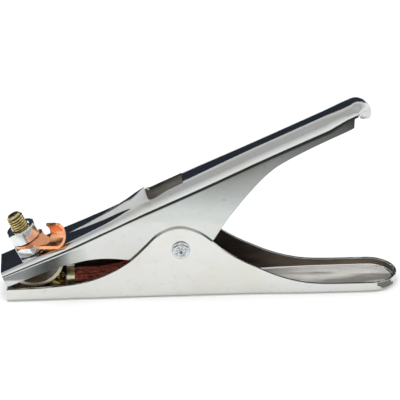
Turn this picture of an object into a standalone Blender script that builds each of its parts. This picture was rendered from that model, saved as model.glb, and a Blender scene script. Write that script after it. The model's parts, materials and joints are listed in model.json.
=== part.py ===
"""Welding ground clamp: two pressed-steel levers, a rivet pivot, a torsion spring, copper parts and a terminal bolt.

Dimensions are in millimetres and become metres when a mesh is made. +X runs from the jaws to the handles, +Z is up.
Lever coordinates: s along the upper lever from the pivot to its nose, y across, z square to its top plate.
"""

import math

import bmesh
import bpy
import numpy as np
from mathutils import Matrix, Vector

MM = 0.001

# driving dimensions
CENTRE_X = 113.3
PIVOT = Vector((101.1 - CENTRE_X, 0.0, 31.3))
LEVER_TILT = math.radians(25.0)
SHEET = 1.8
GAP = 0.25
EDGE_EASE = 0.35
SHARP = math.radians(32)
MERGE = 0.002

# lower lever: height of its side walls at stations along X, measured from the jaw tip
LOWER_END = 212.6
LOWER_RADIUS = 3.2
LOWER_WALL = (
    (0, 8.4), (19, 8.7), (33, 9.8), (44, 11.3), (52, 13.6), (60, 17.0), (67, 21.0), (73, 25.3), (81, 33.4),
    (86, 38.8), (91, 42.3), (96, 44.4), (101, 45.0), (106, 44.0), (113, 40.6), (119, 35.9), (125, 30.6),
    (131, 26.2), (138, 21.9), (145, 18.4), (152, 14.9), (160, 11.6), (168, 9.2), (176, 7.6), (186, 6.8),
    (200, 6.6), (212.6, 6.6), (230, 6.6),
)
LOWER_HALF = ((0, 15.0), (140, 15.0), (165, 16.0), (185, 16.5), (230, 16.5))
LOWER_STATIONS = (*range(0, 64, 9), *np.linspace(64, 150, 25), 158, 166, 175, 187, 200, LOWER_END)

# upper lever: stations along s
UPPER_HALF = ((-100, 14.0), (-60, 14.0), (-36, 12.9), (22, 12.9), (60, 11.7), (116, 11.4), (134, 10.6))
UPPER_TANGENT = ((-100, 29.4), (-64, 28.2), (-38, 28.2), (-20, 29.4), (134, 29.6))
UPPER_TOP = ((-100, 32.0), (-36, 32.0), (-18, 33.6), (-4, 35.2), (134, 35.2))
UPPER_CORNER = ((-100, 2.6), (-64, 3.8), (-36, 4.6), (-18, 8.0), (-4, 11.2), (134, 10.4))
UPPER_EDGE = (
    (-100, 22.8), (-67, 20.9), (-60, 19.4), (-53, 17.8), (-46, 15.3), (-40, 12.4), (-34, 8.8), (-29, 5.6),
    (-22, 0.8), (-14, -5.0), (-6, -9.2), (2, -10.6), (10, -9.2), (18, -4.8), (26, 0.5), (33, 5.0), (41, 9.2),
    (49, 13.2), (59, 17.7), (66, 20.2), (73, 21.8), (87, 23.0), (102, 23.5), (119.6, 23.7), (120.6, 24.4),
    (122.8, 28.7), (124, 28.7),
)
UPPER_STATIONS = (-100, -92, -84, -74, -66, -60, -56, *np.linspace(-51, -6, 12), *np.linspace(-2, 70, 17),
                  80, 92, 105, 114, 119.6, 120.6, 121.7, 122.8)
LEAST_WALL = 0.8
SHOULDER_STEPS = 9

# cone-shaped ridge that is pressed into the top, and the window behind it
BUMP_START = -56.0
BUMP_END = -6.0
BUMP_FADE = 16.0
BUMP_HEIGHT = 2.3
BUMP_HALF = 8.2
MOUTH_S = 2.4
MOUTH_R = 8.6
SLOT_END = 18.2
SLOT_HALF = 6.8

# nose that rolls the top plate over
NOSE_START = 123.8
NOSE_CENTRE_Z = 27.0
NOSE_STRETCH = 1.12
NOSE_TURN = math.radians(130.0)
NOSE_STEPS = 10
NOSE_NARROWING = 0.42

# terminal stack, measured along the bolt in lever coordinates
BOLT_S = -79.3
THREAD_R = 4.9
THREAD_CORE = 4.15
THREAD_PITCH = 1.5
BOLT_TOP = 57.0
BOLT_POINT_R = 3.6
HEAD_FLATS = 16.0
HEAD_HEIGHT = 5.0
BOLT_HOLE_R = 5.3
NUT_FLATS = 17.0
NUT_TURN = math.radians(-22.0)
BASE_NUT = (32.25, 38.2)
TOP_NUT = (40.4, 48.3)

# cable lug
LUG_Z = 38.45
LUG_SHEET = 1.7
LUG_TURN = math.radians(-41.0)
LUG_EYE_R = 8.5
LUG_NECK_HALF = 5.2
LUG_DROP = 4.4
BARREL_R = 7.7
LUG_COLUMNS = 16
LUG_STATIONS = (-8.3, -7.6, -6.2, -4.2, -1.5, 2.0, 5.0, 7.5, 9.5, 11.0, 12.5, 14.0, 14.6, 15.2, 15.8, 16.5, 18.5,
                21.0, 23.5, 24.8, 25.6, 26.2)

# contacts, tags and braid
SHOE_RADIUS = 16.4
SHOE_Z = 30.5
SHOE_ARC = np.linspace(200, 343, 17)
STRIP = 1.8
STRIP_HALF = 10.5
CONTACT_LOW = SHEET + GAP + STRIP / 2
CONTACT_CREST = 6.75
SCREW_X = 29.8
SCREW_CORE = 2.4
SCREW_HOLE_R = 2.75
SMALL_NUT_FLATS = 8.0
SMALL_NUT_HEIGHT = 4.0
TAG_SHEET = 1.2
TAG_WALL = 1.15
TAG_LENGTH = 4.6
TAG_HALF = 6.5
LOWER_TAG_X = 35.0
LOWER_TAG_REACH = 10.0
UPPER_TAG_S = -61.4
UPPER_TAG_OVERHANG = 8.3
BRAID_WIDE = 6.2
BRAID_THICK = 3.8
CONTACT_TOP = SHEET + GAP + STRIP + GAP
SHOE_TOP = 28.15
TAG_RISE = BRAID_THICK + 1.3

# pivot
HOLE_R = 4.3
RIVET_R = 4.2
BUSH_R = 6.6
WIRE_R = 1.5
COIL_R = 9.2
COIL_TURNS = 5
COIL_HALF = 8.3
COIL_STEPS = 18
SPRING_START = math.radians(-72)
SPRING_FOOT_X = 158.0
SPRING_TIP = (56.0, 29.3)

MATERIALS = {
    "zinc_plated_steel": ((0.72, 0.72, 0.70), 0.22),
    "rivet_steel": ((0.66, 0.67, 0.68), 0.30),
    "bush_steel": ((0.40, 0.40, 0.40), 0.40),
    "spring_steel": ((0.30, 0.30, 0.31), 0.35),
    "white_zinc": ((0.78, 0.79, 0.80), 0.20),
    "yellow_zinc": ((0.64, 0.52, 0.26), 0.30),
    "brass_contact": ((0.68, 0.60, 0.36), 0.35),
    "copper_lug": ((0.85, 0.42, 0.24), 0.22),
    "copper_braid": ((0.33, 0.12, 0.08), 0.50),
    "tinned_brass": ((0.70, 0.66, 0.45), 0.35),
}

ORIGIN = Vector((0.0, 0.0, 0.0))
ALONG_Y = Matrix.Rotation(math.radians(-90), 4, "X")
LEVER = Matrix.Translation(PIVOT) @ Matrix.Rotation(-LEVER_TILT, 4, "Y")
BOLT = LEVER @ Matrix.Translation((BOLT_S, 0, 0))
PIN = Matrix.Translation(PIVOT) @ ALONG_Y
SCREW = Matrix.Translation((SCREW_X - CENTRE_X, 0, 0))


def linear_table(rows, x):
    """Straight-line interpolation through a table of stations."""
    return float(np.interp(x, [r[0] for r in rows], [r[1] for r in rows]))


def smooth_table(rows, x):
    """Catmull-Rom interpolation through a table of stations."""
    xs = [r[0] for r in rows]
    ys = [r[1] for r in rows]
    if x <= xs[0] or x >= xs[-1]:
        return float(np.interp(x, xs, ys))
    i = int(np.searchsorted(xs, x, side="right")) - 1
    x0, x1, y0, y1 = xs[i], xs[i + 1], ys[i], ys[i + 1]
    left = (y1 - ys[max(i - 1, 0)]) / (x1 - xs[max(i - 1, 0)])
    right = (ys[min(i + 2, len(ys) - 1)] - y0) / (xs[min(i + 2, len(xs) - 1)] - x0)
    h = x1 - x0
    t = (x - x0) / h
    a = 2 * t**3 - 3 * t**2 + 1
    b = t**3 - 2 * t**2 + t
    c = -2 * t**3 + 3 * t**2
    d = t**3 - t**2
    return a * y0 + b * h * left + c * y1 + d * h * right


def ease(x, a, b):
    """0 before a, 1 after b and smooth between them."""
    t = min(max((x - a) / (b - a), 0.0), 1.0)
    return t * t * (3 - 2 * t)


def smooth_path(points, steps):
    """Catmull-Rom curve through 3-D points."""
    pts = [Vector(p) for p in points]
    ext = [pts[0] * 2 - pts[1]] + pts + [pts[-1] * 2 - pts[-2]]
    out = []
    for i in range(1, len(ext) - 2):
        a, b, c, d = ext[i - 1:i + 3]
        for k in range(steps):
            t = k / steps
            cubic = 2 * b + (c - a) * t + (2 * a - 5 * b + 4 * c - d) * t * t + (3 * b - 3 * c + d - a) * t**3
            out.append(cubic / 2)
    out.append(pts[-1])
    return out


def from_tip(x, y, z):
    """A point whose X is measured from the jaw tip."""
    return Vector((x - CENTRE_X, y, z))


# ---------------------------------------------------------------- objects


def collection(name):
    c = bpy.data.collections.new(name)
    bpy.context.scene.collection.children.link(c)
    return c


def material(name):
    """The shared material of a slot, made the first time it is asked for."""
    if name in bpy.data.materials:
        return bpy.data.materials[name]
    color, rough = MATERIALS[name]
    m = bpy.data.materials.new(name)
    m.use_nodes = True
    shader = m.node_tree.nodes["Principled BSDF"]
    shader.inputs["Base Color"].default_value = (*color, 1.0)
    shader.inputs["Metallic"].default_value = 1.0
    shader.inputs["Roughness"].default_value = rough
    return m


def add_mesh(name, bm, where, slot=None, origin=ORIGIN, matrix=None):
    """Turns a bmesh in millimetres into a named object whose origin sits at the given point."""
    if matrix is not None:
        bmesh.ops.transform(bm, matrix=matrix, verts=bm.verts)
    bmesh.ops.remove_doubles(bm, verts=bm.verts, dist=MERGE)
    bmesh.ops.recalc_face_normals(bm, faces=bm.faces)
    bmesh.ops.translate(bm, verts=bm.verts, vec=-origin)
    bmesh.ops.scale(bm, verts=bm.verts, vec=(MM, MM, MM))
    for face in bm.faces:
        face.smooth = True
    mesh = bpy.data.meshes.new(name)
    bm.to_mesh(mesh)
    bm.free()
    mesh.set_sharp_from_angle(angle=SHARP)
    obj = bpy.data.objects.new(name, mesh)
    obj.location = origin * MM
    if slot:
        mesh.materials.append(material(slot))
    where.objects.link(obj)
    return obj


def add_turned(name, profile, steps, where, slot=None, matrix=None, origin=ORIGIN, closed=False):
    """Turns a (radius, height) profile about Z with a Screw modifier, then lays it out by matrix."""
    bm = bmesh.new()
    verts = [bm.verts.new((r, 0.0, z)) for r, z in profile]
    for pair in zip(verts[:-1], verts[1:]):
        bm.edges.new(pair)
    if closed:
        bm.edges.new((verts[-1], verts[0]))
    bmesh.ops.scale(bm, verts=bm.verts, vec=(MM, MM, MM))
    mesh = bpy.data.meshes.new(name)
    bm.to_mesh(mesh)
    bm.free()
    obj = bpy.data.objects.new(name, mesh)
    place = matrix.copy()
    place.translation = place.translation * MM
    obj.matrix_world = place
    screw = obj.modifiers.new("turn", "SCREW")
    screw.steps = steps
    screw.render_steps = steps
    screw.use_merge_vertices = True
    screw.merge_threshold = 0.00001
    if slot:
        mesh.materials.append(material(slot))
    where.objects.link(obj)
    return obj


def add_tube(name, path, radius, resolution, where, slot, widen=1.0):
    """A round wire along a path as a curve with filled caps; widen stretches it along Y."""
    curve = bpy.data.curves.new(name, "CURVE")
    curve.dimensions = "3D"
    curve.bevel_depth = radius * MM
    curve.bevel_resolution = resolution
    curve.use_fill_caps = True
    spline = curve.splines.new("POLY")
    spline.points.add(len(path) - 1)
    for point, p in zip(spline.points, path):
        point.co = (p.x * MM, p.y * MM / widen, p.z * MM, 1.0)
    curve.materials.append(material(slot))
    obj = bpy.data.objects.new(name, curve)
    obj.scale = (1.0, widen, 1.0)
    where.objects.link(obj)
    return obj


def boolean(target, tool, operation="DIFFERENCE"):
    """Combines a tool with an object by an exact Boolean and hides the tool."""
    tool.hide_render = True
    tool.display_type = "WIRE"
    mod = target.modifiers.new(tool.name, "BOOLEAN")
    mod.operation = operation
    mod.solver = "EXACT"
    mod.object = tool


def skin(bm, rows, closed_ring=True, caps=True):
    """Skins a list of equal vertex rings."""
    n = len(rows[0])
    last = n if closed_ring else n - 1
    for a, b in zip(rows[:-1], rows[1:]):
        for k in range(last):
            quad = [a[k], a[(k + 1) % n], b[(k + 1) % n], b[k]]
            unique = list(dict.fromkeys(quad))
            if len(unique) > 2:
                bm.faces.new(unique)
    if caps:
        bm.faces.new(list(reversed(rows[0])))
        bm.faces.new(rows[-1])


def loft(rings, closed_ring=True):
    bm = bmesh.new()
    skin(bm, [[bm.verts.new(p) for p in ring] for ring in rings], closed_ring)
    bmesh.ops.triangulate(bm, faces=[f for f in bm.faces if len(f.verts) > 4])
    return bm


def cylinder(radius, low, high, sides=28):
    bm = bmesh.new()
    bmesh.ops.create_cone(bm, cap_ends=True, segments=sides, radius1=radius, radius2=radius, depth=high - low)
    bmesh.ops.translate(bm, verts=bm.verts, vec=(0, 0, (low + high) / 2))
    return bm


def box(low, high):
    bm = bmesh.new()
    bmesh.ops.create_cube(bm, size=1.0)
    bmesh.ops.scale(bm, verts=bm.verts, vec=[h - b for b, h in zip(low, high)])
    bmesh.ops.translate(bm, verts=bm.verts, vec=[(h + b) / 2 for b, h in zip(low, high)])
    return bm


# ---------------------------------------------------------------- lower lever


def lower_section(half, height):
    """(inward distance, z) points of half the channel, from the middle of the web, up the wall and back."""
    r, t, c = LOWER_RADIUS, SHEET, EDGE_EASE
    inner = r - t
    arc = np.radians((0, 22.5, 45, 67.5, 90))
    pts = [(half, 0.0)]
    pts += [(r - r * math.sin(a), r - r * math.cos(a)) for a in arc]
    pts += [(0.0, height - c), (c, height), (t - c, height), (t, height - c)]
    pts += [(r - inner * math.sin(a), r - inner * math.cos(a)) for a in reversed(arc)]
    pts += [(half, t)]
    return pts


def lower_stations():
    """Plan stations round the channel: (x, outward x, outward y)."""
    near = [(float(x), 0.0, -1.0) for x in LOWER_STATIONS]
    bow = [(LOWER_END, math.cos(a), math.sin(a)) for a in np.radians(range(-80, 81, 10))]
    far = [(x, 0.0, 1.0) for x, _, _ in reversed(near)]
    return near + bow + far


def build_lower_lever(parts, cutters):
    rings = []
    for x, nx, ny in lower_stations():
        half = linear_table(LOWER_HALF, x)
        section = lower_section(half, smooth_table(LOWER_WALL, x))
        rings.append([from_tip(x + nx * (half - d), ny * (half - d), z) for d, z in section])
    obj = add_mesh("lower_lever", loft(rings, closed_ring=False), parts, "zinc_plated_steel")
    boolean(obj, add_mesh("cut_lower_pivot", cylinder(HOLE_R, -25, 25), cutters, matrix=PIN))
    profile = [(0, 4), (SCREW_HOLE_R, 4), (SCREW_HOLE_R, 1.35), (4.75, 0.2), (4.75, -1), (0, -1)]
    boolean(obj, add_turned("cut_screw_seat", profile, 24, cutters, matrix=SCREW))


# ---------------------------------------------------------------- upper lever


def bump(s, y):
    """Extra height of the pressed ridge."""
    grow = min(max((s - BUMP_START) / (BUMP_END - BUMP_START), 0.0), 1.0)
    if s > BUMP_END:
        grow = 1.0 - ease(s, BUMP_END, BUMP_END + BUMP_FADE)
    reach = max(BUMP_HALF * grow, 0.5)
    return BUMP_HEIGHT * grow * max(0.0, 1.0 - (y / reach) ** 2)


def crown(s, y, inset):
    """Height of the outer skin (inset 0) or the inner skin (inset = sheet) at y."""
    corner = linear_table(UPPER_CORNER, s)
    tangent = linear_table(UPPER_TANGENT, s)
    rise = smooth_table(UPPER_TOP, s) - tangent - inset
    away = max(abs(y) - smooth_table(UPPER_HALF, s) + corner, 0.0)
    return tangent + rise * math.sqrt(max(0.0, 1.0 - (away / (corner - inset)) ** 2)) + bump(s, y)


def upper_ring(s):
    """(y, z) points of the whole sheet section at s, out along one skin and back along the other."""
    half = smooth_table(UPPER_HALF, s)
    inside = half - SHEET
    edge = min(smooth_table(UPPER_EDGE, s), linear_table(UPPER_TANGENT, s) - LEAST_WALL)
    share = [math.sin(math.pi / 2 * k / SHOULDER_STEPS) for k in range(-SHOULDER_STEPS, SHOULDER_STEPS + 1)]
    c = EDGE_EASE
    outer = [(-half + c, edge), (-half, edge + c)]
    outer += [(f * half, crown(s, f * half, 0.0)) for f in share]
    outer += [(half, edge + c), (half - c, edge)]
    inner = [(inside + c, edge), (inside, edge + c)]
    inner += [(f * inside, crown(s, f * inside, SHEET)) for f in reversed(share)]
    inner += [(-inside, edge + c), (-inside - c, edge)]
    return outer + inner


def nose_ring(turn):
    """The section at the start of the nose, rolled over and narrowed."""
    narrow = 1.0 - NOSE_NARROWING * ease(turn, math.radians(15), math.radians(115))
    ring = []
    for y, z in upper_ring(NOSE_START):
        rise = z - NOSE_CENTRE_Z
        s = NOSE_START + NOSE_STRETCH * rise * math.sin(turn)
        ring.append(LEVER @ Vector((s, y * narrow, NOSE_CENTRE_Z + rise * math.cos(turn))))
    return ring


def build_upper_lever(parts, cutters):
    rings = [[LEVER @ Vector((s, y, z)) for y, z in upper_ring(float(s))] for s in UPPER_STATIONS]
    rings += [nose_ring(NOSE_TURN * k / NOSE_STEPS) for k in range(NOSE_STEPS + 1)]
    obj = add_mesh("upper_lever", loft(rings), parts, "zinc_plated_steel", PIVOT)
    boolean(obj, add_mesh("cut_upper_pivot", cylinder(HOLE_R, -25, 25), cutters, matrix=PIN))
    boolean(obj, add_mesh("cut_terminal_bolt", cylinder(BOLT_HOLE_R, 27, 36), cutters, matrix=BOLT))
    mouth = LEVER @ Matrix.Translation((MOUTH_S, 0, 0))
    boolean(obj, add_mesh("cut_cable_mouth", cylinder(MOUTH_R, 26, 46, 32), cutters, matrix=mouth))
    slot = box((MOUTH_S, -SLOT_HALF, 26.2), (SLOT_END, SLOT_HALF, 45.8))
    boolean(obj, add_mesh("cut_cable_slot", slot, cutters, matrix=LEVER))


# ---------------------------------------------------------------- contacts, tags and braid


def add_strip(name, path, parts, slot, matrix, origin):
    """A flat strip: an edge path drawn out along Y and given its thickness."""
    bm = bmesh.new()
    verts = [bm.verts.new((x, -STRIP_HALF, z)) for x, z in path]
    edges = [bm.edges.new(pair) for pair in zip(verts[:-1], verts[1:])]
    drawn = bmesh.ops.extrude_edge_only(bm, edges=edges)["geom"]
    moved = [v for v in drawn if isinstance(v, bmesh.types.BMVert)]
    bmesh.ops.translate(bm, verts=moved, vec=(0, 2 * STRIP_HALF, 0))
    obj = add_mesh(name, bm, parts, slot, origin, matrix)
    solid = obj.modifiers.new("sheet", "SOLIDIFY")
    solid.thickness = STRIP * MM
    solid.offset = 0.0
    solid.use_even_offset = True
    return obj


def shoe_path():
    pts = [(-67.0, 29.05), (-74.0, 29.05), (-84.0, 29.05), (-91.0, 29.05), (-93.4, 28.3), (-94.7, 26.6)]
    arc = [(BOLT_S + SHOE_RADIUS * math.cos(a), SHOE_Z + SHOE_RADIUS * math.sin(a)) for a in np.radians(SHOE_ARC)]
    return pts + arc


def build_contacts(parts, cutters):
    shoe = add_strip("upper_contact", shoe_path(), parts, "brass_contact", LEVER, PIVOT)
    boolean(shoe, add_mesh("cut_shoe_bolt", cylinder(BOLT_HOLE_R, 27, 30.6), cutters, matrix=BOLT))
    low, crest = CONTACT_LOW, CONTACT_CREST
    pts = [(3, 0, low), (7, 0, low + 0.3), (11.5, 0, crest - 0.9), (16.3, 0, crest), (19.8, 0, crest - 1.3),
           (22.2, 0, low + 0.25), (24, 0, low), (30, 0, low), (36, 0, low)]
    path = [(p.x, p.z) for p in smooth_path(pts, 3)]
    to_tip = Matrix.Translation((-CENTRE_X, 0, 0))
    seat = add_strip("lower_contact", path, parts, "brass_contact", to_tip, ORIGIN)
    boolean(seat, add_mesh("cut_seat_screw", cylinder(SCREW_HOLE_R, 1, 6, 24), cutters, matrix=SCREW))


def add_tag(name, parts, cutters, matrix, side, reach, hole, origin):
    """A crimped oval sleeve along X, with a flat tongue that reaches back under a fastener."""
    sleeve = bmesh.new()
    radius = BRAID_THICK + GAP
    bmesh.ops.create_cone(sleeve, cap_ends=False, segments=24, radius1=radius, radius2=radius, depth=TAG_LENGTH)
    bmesh.ops.scale(sleeve, verts=sleeve.verts, vec=(1, (BRAID_WIDE + GAP) / radius, 1))
    bmesh.ops.translate(sleeve, verts=sleeve.verts, vec=(0, 0, TAG_LENGTH / 2))
    lay = matrix @ Matrix.Rotation(math.radians(90), 4, "Y")
    body = add_mesh(name, sleeve, parts, "tinned_brass", origin, lay)
    solid = body.modifiers.new("wall", "SOLIDIFY")
    solid.thickness = TAG_WALL * MM
    solid.offset = 1.0
    level = sorted((side * (TAG_RISE - TAG_SHEET), side * TAG_RISE))
    tongue = box((-reach, -TAG_HALF, level[0]), (0.9, TAG_HALF, level[1]))
    boolean(body, add_mesh(name + "_tongue", tongue, cutters, matrix=matrix), "UNION")
    spot = matrix @ Matrix.Translation((-hole[0], 0, 0))
    boolean(body, add_mesh("cut_" + name, cylinder(hole[1], -8, 8, 24), cutters, matrix=spot))


def build_tags(parts, cutters):
    lower = Matrix.Translation(from_tip(LOWER_TAG_X, 0, CONTACT_TOP + TAG_RISE))
    hole = (LOWER_TAG_X - SCREW_X, SCREW_HOLE_R)
    add_tag("lower_braid_tag", parts, cutters, lower, -1, LOWER_TAG_REACH, hole, ORIGIN)
    upper = LEVER @ Matrix.Translation((UPPER_TAG_S, 0, SHOE_TOP - GAP - TAG_RISE))
    hole = (UPPER_TAG_S - BOLT_S, BOLT_HOLE_R)
    add_tag("upper_braid_tag", parts, cutters, upper, 1, hole[0] + UPPER_TAG_OVERHANG, hole, PIVOT)


def build_braid(parts):
    """The bundle's path, from the lower tag back towards the pivot and round to the upper tag."""
    low = CONTACT_TOP + TAG_RISE
    high = SHOE_TOP - GAP - TAG_RISE
    shift = Vector((CENTRE_X, 0, 0))
    end = LEVER @ Vector((UPPER_TAG_S + 0.6, 0, high)) + shift
    before = LEVER @ Vector((UPPER_TAG_S + 5.4, 0, high)) + shift
    pts = [(LOWER_TAG_X + 0.6, 0, low), (41, 0, low), (48, 0, 9.3), (57, 0, 9.9), (66, 0, 11.9), (74, 0, 14.8),
           (80.5, 0, 18.0), (83.8, 0, 22.6), (80.5, 0, 27.0), (73, 0, 27.6), (65, 0, 26.2), (57, 0, 26.4),
           (50, 0, 29.0), before + Vector((4.2, 0, 1.7)), before, end]
    path = [p - shift for p in smooth_path(pts, 3)]
    add_tube("copper_braid", path, BRAID_THICK, 5, parts, "copper_braid", BRAID_WIDE / BRAID_THICK)


# ---------------------------------------------------------------- pivot


def build_pivot(parts):
    wall = LOWER_HALF[0][1]
    head = [(0.0, 0.55), (1.4, 0.6), (2.3, 1.0), (3.0, 1.55), (3.6, 1.65), (4.4, 1.5), (5.1, 1.05), (5.3, 0.55),
            (5.2, 0.12), (RIVET_R - 0.1, 0.1)]
    profile = [(r, wall + z) for r, z in head] + [(r, -wall - z) for r, z in reversed(head)]
    add_turned("pivot_rivet", profile, 32, parts, "rivet_steel", PIN)
    end = UPPER_HALF[2][1] - SHEET - GAP
    c = 0.4
    bore = RIVET_R + 0.15
    profile = [(BUSH_R - c, end), (BUSH_R, end - c), (BUSH_R, c - end), (BUSH_R - c, -end), (bore, -end), (bore, end)]
    add_turned("pivot_bush", profile, 28, parts, "bush_steel", PIN, closed=True)


def build_spring(parts):
    """Wire coil about the pivot with one leg on the lower web and one under the upper crown."""
    total = 2 * math.pi * COIL_TURNS - SPRING_START + math.radians(90) + LEVER_TILT
    count = COIL_STEPS * COIL_TURNS
    coil = []
    for k in range(count + 1):
        a = SPRING_START - total * k / count
        y = -COIL_HALF + 2 * COIL_HALF * k / count
        coil.append(PIVOT + Vector((COIL_R * math.cos(a), y, COIL_R * math.sin(a))))
    foot = from_tip(SPRING_FOOT_X, -COIL_HALF, SHEET + GAP + WIRE_R)
    tip = LEVER @ Vector((SPRING_TIP[0], COIL_HALF, SPRING_TIP[1]))
    legs = [foot.lerp(coil[0], k / 4) for k in range(4)], [coil[-1].lerp(tip, k / 4) for k in range(1, 5)]
    add_tube("torsion_spring", legs[0] + coil + legs[1], WIRE_R, 3, parts, "spring_steel")


# ---------------------------------------------------------------- fasteners


def hex_radius(corner, k, sides):
    """Distance from the axis to a hexagon whose corner is at step 0 of a full turn."""
    wedge = (2 * math.pi * k / sides) % (math.pi / 3) - math.pi / 6
    return corner * math.cos(math.pi / 6) / math.cos(wedge)


def circle(radius, sides, z):
    return [(radius * math.cos(2 * math.pi * k / sides), radius * math.sin(2 * math.pi * k / sides), z)
            for k in range(sides)]


def add_nut(name, low, high, flats, bore, turn, where, cutters, slot, matrix, origin=ORIGIN):
    """Hexagon prism, chamfered by a turned blank and bored through."""
    corner = flats / math.sqrt(3)
    chamfer = (corner - flats / 2) * 0.55
    body = cylinder(corner, low, high, 6)
    spin = matrix @ Matrix.Rotation(turn, 4, "Z")
    nut = add_mesh(name, body, where, slot, origin, spin)
    blank = [(0, high), (flats / 2 - 0.15, high), (corner + 0.4, high - chamfer), (corner + 0.4, low + chamfer),
             (flats / 2 - 0.15, low), (0, low)]
    boolean(nut, add_turned(name + "_blank", blank, 36, cutters, matrix=spin), "INTERSECT")
    hole = [(0, high + 1), (bore + 1.6, high + 1), (bore, high - 0.6), (bore, low + 0.6), (bore + 1.6, low - 1),
            (0, low - 1)]
    boolean(nut, add_turned(name + "_bore", hole, 36, cutters, matrix=spin))


def thread_rings(low, high, sides):
    """Rings of a helical thread that fades out at both ends."""
    rings = []
    rows = int(round((high - low) / THREAD_PITCH * 5))
    for i in range(rows + 1):
        z = low + (high - low) * i / rows
        fade = max(0.0, min(1.0, (z - low) / THREAD_PITCH, (high - z) / (0.8 * THREAD_PITCH)))
        ring = []
        for k in range(sides):
            a = 2 * math.pi * k / sides
            phase = ((z - low) / THREAD_PITCH - a / (2 * math.pi)) % 1.0
            height = min(1.0, 1.35 * (1.0 - abs(2 * phase - 1.0)))
            r = THREAD_CORE + (THREAD_R - THREAD_CORE) * height * fade
            ring.append((r * math.cos(a), r * math.sin(a), z))
        rings.append(ring)
    return rings


def build_terminal_bolt(parts):
    """Hexagon head inside the shoe, plain shank through the stack and a thread above it."""
    head_top = SHOE_TOP - GAP - TAG_SHEET - GAP
    head_low = head_top - HEAD_HEIGHT
    sides = 24
    corner = HEAD_FLATS / math.sqrt(3)
    rings = []
    for z, limit in ((head_low, HEAD_FLATS / 2 - 0.4), (head_low + 0.8, corner), (head_top, corner)):
        radii = [min(hex_radius(corner, k, sides), limit) for k in range(sides)]
        rings.append([(x * r, y * r, z) for (x, y, _), r in zip(circle(1.0, sides, z), radii)])
    rings += [circle(THREAD_R, sides, head_top + 0.02), circle(THREAD_R, sides, TOP_NUT[1] - 1.6)]
    rings += thread_rings(TOP_NUT[1] - 1.5, BOLT_TOP - 0.7, sides)
    rings.append(circle(BOLT_POINT_R, sides, BOLT_TOP))
    rings = [[BOLT @ Vector(p) for p in ring] for ring in rings]
    add_mesh("terminal_bolt", loft(rings), parts, "yellow_zinc", PIVOT)


def build_fasteners(parts, cutters):
    bore = THREAD_R + GAP
    seat = BOLT @ Vector((0, 0, TOP_NUT[0]))
    add_nut("base_nut", *BASE_NUT, NUT_FLATS, bore, NUT_TURN, parts, cutters, "white_zinc", BOLT, PIVOT)
    add_nut("terminal_nut", *TOP_NUT, NUT_FLATS, bore, NUT_TURN, parts, cutters, "white_zinc", BOLT, seat)
    low = CONTACT_TOP + TAG_SHEET + GAP
    top = low + SMALL_NUT_HEIGHT
    small = (SMALL_NUT_FLATS, SCREW_CORE + GAP, math.radians(12))
    add_nut("lower_contact_nut", low, top, *small, parts, cutters, "yellow_zinc", SCREW)
    profile = [(0, top + 1.7), (SCREW_CORE - 0.5, top + 1.7), (SCREW_CORE, top + 1.2), (SCREW_CORE, 1.45), (4.4, 0.3),
               (4.2, 0.15), (0, 0.15)]
    add_turned("lower_contact_screw", profile, 24, parts, "yellow_zinc", SCREW)


# ---------------------------------------------------------------- lug


def lug_station(u):
    """Drop, curvature and side reaches of the lug strip at distance u from the bolt."""
    drop = -LUG_DROP * ease(u, 7.5, 16.0)
    bend = ease(u, 11.0, 16.0) / BARREL_R
    eye = LUG_EYE_R * math.sqrt(max(0.0, 1.0 - (min(u, 0.0) / LUG_EYE_R) ** 2))
    strip = eye + (LUG_NECK_HALF - LUG_EYE_R) * ease(u, 5.0, 10.5)
    far = strip + 12.0 * ease(u, 14.0, 16.0) - 1.6 * ease(u, 24.6, 26.4)
    near = strip + 0.6 * ease(u, 14.0, 16.0)
    return drop, bend, near, far


def lug_point(u, q, rise):
    """A point of the lug strip: u along it, q across it and rise above its outer skin."""
    drop, bend, _, _ = lug_station(u)
    if bend < 1e-4:
        return Vector((u, q, drop + rise))
    radius = 1.0 / bend
    a = q * bend
    return Vector((u, (radius - rise) * math.sin(a), drop + radius - (radius - rise) * math.cos(a)))


def build_lug(parts, cutters):
    frame = BOLT @ Matrix.Translation((0, 0, LUG_Z)) @ Matrix.Rotation(LUG_TURN, 4, "Z")
    rings = []
    for u in LUG_STATIONS:
        _, _, near, far = lug_station(u)
        across = np.linspace(-near, far, LUG_COLUMNS + 1)
        outer = [lug_point(u, q, 0.0) for q in across]
        inner = [lug_point(u, q, LUG_SHEET) for q in reversed(across)]
        rings.append([frame @ p for p in outer + inner])
    obj = add_mesh("cable_lug", loft(rings), parts, "copper_lug", frame.translation.copy())
    boolean(obj, add_mesh("cut_lug_bolt", cylinder(THREAD_R + 0.4, -2, 4), cutters, matrix=frame))


def main():
    for obj in list(bpy.data.objects):
        bpy.data.objects.remove(obj, do_unlink=True)
    parts = collection("ground_clamp")
    cutters = collection("cutters")
    build_lower_lever(parts, cutters)
    build_upper_lever(parts, cutters)
    build_pivot(parts)
    build_spring(parts)
    build_contacts(parts, cutters)
    build_tags(parts, cutters)
    build_braid(parts)
    build_terminal_bolt(parts)
    build_fasteners(parts, cutters)
    build_lug(parts, cutters)


main()
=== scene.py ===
"""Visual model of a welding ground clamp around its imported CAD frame.

Lengths in the shape functions are millimetres, as in the part's source, and become metres in new_piece.
Lever coordinates: s along the upper lever from the pivot to its nose, y across, z square to its top plate.
"""

import json
import math
import random

import bmesh
import bpy
import numpy as np
from mathutils import Matrix, Vector


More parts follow.
